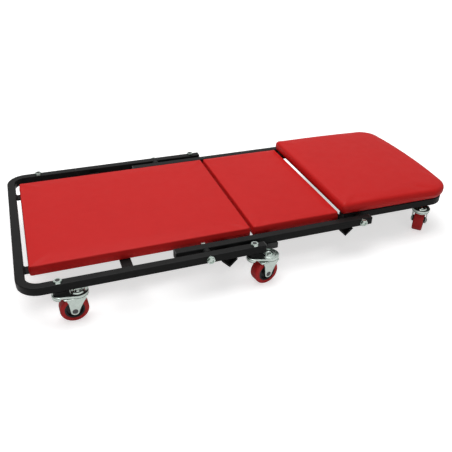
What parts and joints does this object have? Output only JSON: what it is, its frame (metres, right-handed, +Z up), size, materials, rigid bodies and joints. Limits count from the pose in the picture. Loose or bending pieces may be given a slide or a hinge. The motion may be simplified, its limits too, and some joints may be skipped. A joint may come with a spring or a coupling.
{
  "type": "folding creeper seat",
  "caption": "Low padded creeper on swivel casters; its hinged frame sections fold up and over into a low rolling seat.",
  "frame": {"origin": "on the floor under the middle of the object as it lies flat", "axes": "+X from the head end to the seat section, along the length; +Y across to the far side; +Z up"},
  "size_m": [0.9036, 0.4634, 0.1101],
  "materials": {
    "frame_black": "semi-gloss black powder coat",
    "plug_black": "matt moulded plastic",
    "vinyl_red": "satin red upholstery vinyl with a fine grain",
    "board": "raw fibreboard",
    "zinc": "bright zinc plate",
    "axle_steel": "dark oiled steel",
    "ball_steel": "polished bearing steel",
    "core_black": "moulded black plastic",
    "tyre_red": "smooth red polyurethane tread"
  },
  "bodies": {
    "base": {"base_frame": "frame_black", "base_stop_bar": "frame_black", "base_pad_straps": "frame_black", "base_end_plugs": "plug_black", "long_pad_board": "board", "long_pad_cushion": "vinyl_red", "long_pad_screws": "zinc", "base_caster_blocks": "frame_black", "base_caster_arms": "zinc", "base_caster_balls": "ball_steel", "base_caster_bolts": "zinc", "base_kingpins": "zinc", "back_pivot_bolts": "zinc", "back_pivot_spacers": "frame_black"},
    "middle": {"middle_rails": "frame_black", "middle_cross_tube": "frame_black", "middle_stop_bar": "frame_black", "middle_pad_straps": "frame_black", "middle_end_plugs": "plug_black", "middle_pad_board": "board", "middle_pad_cushion": "vinyl_red", "middle_pad_screws": "zinc", "seat_pivot_bolts": "zinc", "seat_pivot_spacers": "frame_black"},
    "seat": {"seat_frame": "frame_black", "seat_cross_tube": "frame_black", "seat_cross_strap": "frame_black", "seat_end_plugs": "plug_black", "seat_pad_board": "board", "seat_pad_cushion": "vinyl_red", "seat_pad_screws": "zinc", "seat_caster_blocks": "frame_black", "seat_caster_arms": "zinc", "seat_caster_balls": "ball_steel", "seat_caster_bolts": "zinc", "seat_kingpins": "zinc"},
    "head_near_swivel": {"head_near_fork": "zinc", "head_near_axle": "axle_steel"},
    "head_near_wheel": {"head_near_hub": "core_black", "head_near_tyre": "tyre_red"},
    "head_far_swivel": {"head_far_fork": "zinc", "head_far_axle": "axle_steel"},
    "head_far_wheel": {"head_far_hub": "core_black", "head_far_tyre": "tyre_red"},
    "centre_near_swivel": {"centre_near_fork": "zinc", "centre_near_axle": "axle_steel"},
    "centre_near_wheel": {"centre_near_hub": "core_black", "centre_near_tyre": "tyre_red"},
    "centre_far_swivel": {"centre_far_fork": "zinc", "centre_far_axle": "axle_steel"},
    "centre_far_wheel": {"centre_far_hub": "core_black", "centre_far_tyre": "tyre_red"},
    "seat_near_swivel": {"seat_near_fork": "zinc", "seat_near_axle": "axle_steel"},
    "seat_near_wheel": {"seat_near_hub": "core_black", "seat_near_tyre": "tyre_red"},
    "seat_far_swivel": {"seat_far_fork": "zinc", "seat_far_axle": "axle_steel"},
    "seat_far_wheel": {"seat_far_hub": "core_black", "seat_far_tyre": "tyre_red"}
  },
  "joints": [
    {"name": "fold_middle", "type": "hinge", "parent": "base", "child": "middle", "pos_m": [-0.1164, 0, 0.074], "axis": [0, -1, 0], "range_deg": [0, 135]},
    {"name": "fold_seat", "type": "hinge", "parent": "middle", "child": "seat", "pos_m": [0.2186, 0, 0.074], "axis": [0, 1, 0], "range_deg": [0, 135]},
    {"name": "head_near_turn", "type": "hinge", "parent": "base", "child": "head_near_swivel", "pos_m": [-0.354, -0.208, 0.05], "axis": [0, 0, 1], "continuous": true},
    {"name": "head_near_roll", "type": "hinge", "parent": "head_near_swivel", "child": "head_near_wheel", "pos_m": [-0.36399, -0.20835, 0.025], "axis": [0.0349, -0.9994, 0], "continuous": true},
    {"name": "head_far_turn", "type": "hinge", "parent": "base", "child": "head_far_swivel", "pos_m": [-0.354, 0.208, 0.05], "axis": [0, 0, 1], "continuous": true},
    {"name": "head_far_roll", "type": "hinge", "parent": "head_far_swivel", "child": "head_far_wheel", "pos_m": [-0.36399, 0.20835, 0.025], "axis": [-0.0349, -0.9994, 0], "continuous": true},
    {"name": "centre_near_turn", "type": "hinge", "parent": "base", "child": "centre_near_swivel", "pos_m": [0.00191, -0.21218, 0.05], "axis": [0, 0, 1], "continuous": true},
    {"name": "centre_near_roll", "type": "hinge", "parent": "centre_near_swivel", "child": "centre_near_wheel", "pos_m": [-0.00791, -0.21408, 0.025], "axis": [0.1908, -0.9816, 0], "continuous": true},
    {"name": "centre_far_turn", "type": "hinge", "parent": "base", "child": "centre_far_swivel", "pos_m": [0.00191, 0.21218, 0.05], "axis": [0, 0, 1], "continuous": true},
    {"name": "centre_far_roll", "type": "hinge", "parent": "centre_far_swivel", "child": "centre_far_wheel", "pos_m": [-0.00791, 0.21408, 0.025], "axis": [-0.1908, -0.9816, 0], "continuous": true},
    {"name": "seat_near_turn", "type": "hinge", "parent": "seat", "child": "seat_near_swivel", "pos_m": [0.3886, -0.1544, 0.05], "axis": [0, 0, 1], "continuous": true},
    {"name": "seat_near_roll", "type": "hinge", "parent": "seat_near_swivel", "child": "seat_near_wheel", "pos_m": [0.39567, -0.14733, 0.025], "axis": [-0.7071, 0.7071, 0], "continuous": true},
    {"name": "seat_far_turn", "type": "hinge", "parent": "seat", "child": "seat_far_swivel", "pos_m": [0.3886, 0.1544, 0.05], "axis": [0, 0, 1], "continuous": true},
    {"name": "seat_far_roll", "type": "hinge", "parent": "seat_far_swivel", "child": "seat_far_wheel", "pos_m": [0.39567, 0.14733, 0.025], "axis": [0.7071, 0.7071, 0], "continuous": true}
  ]
}
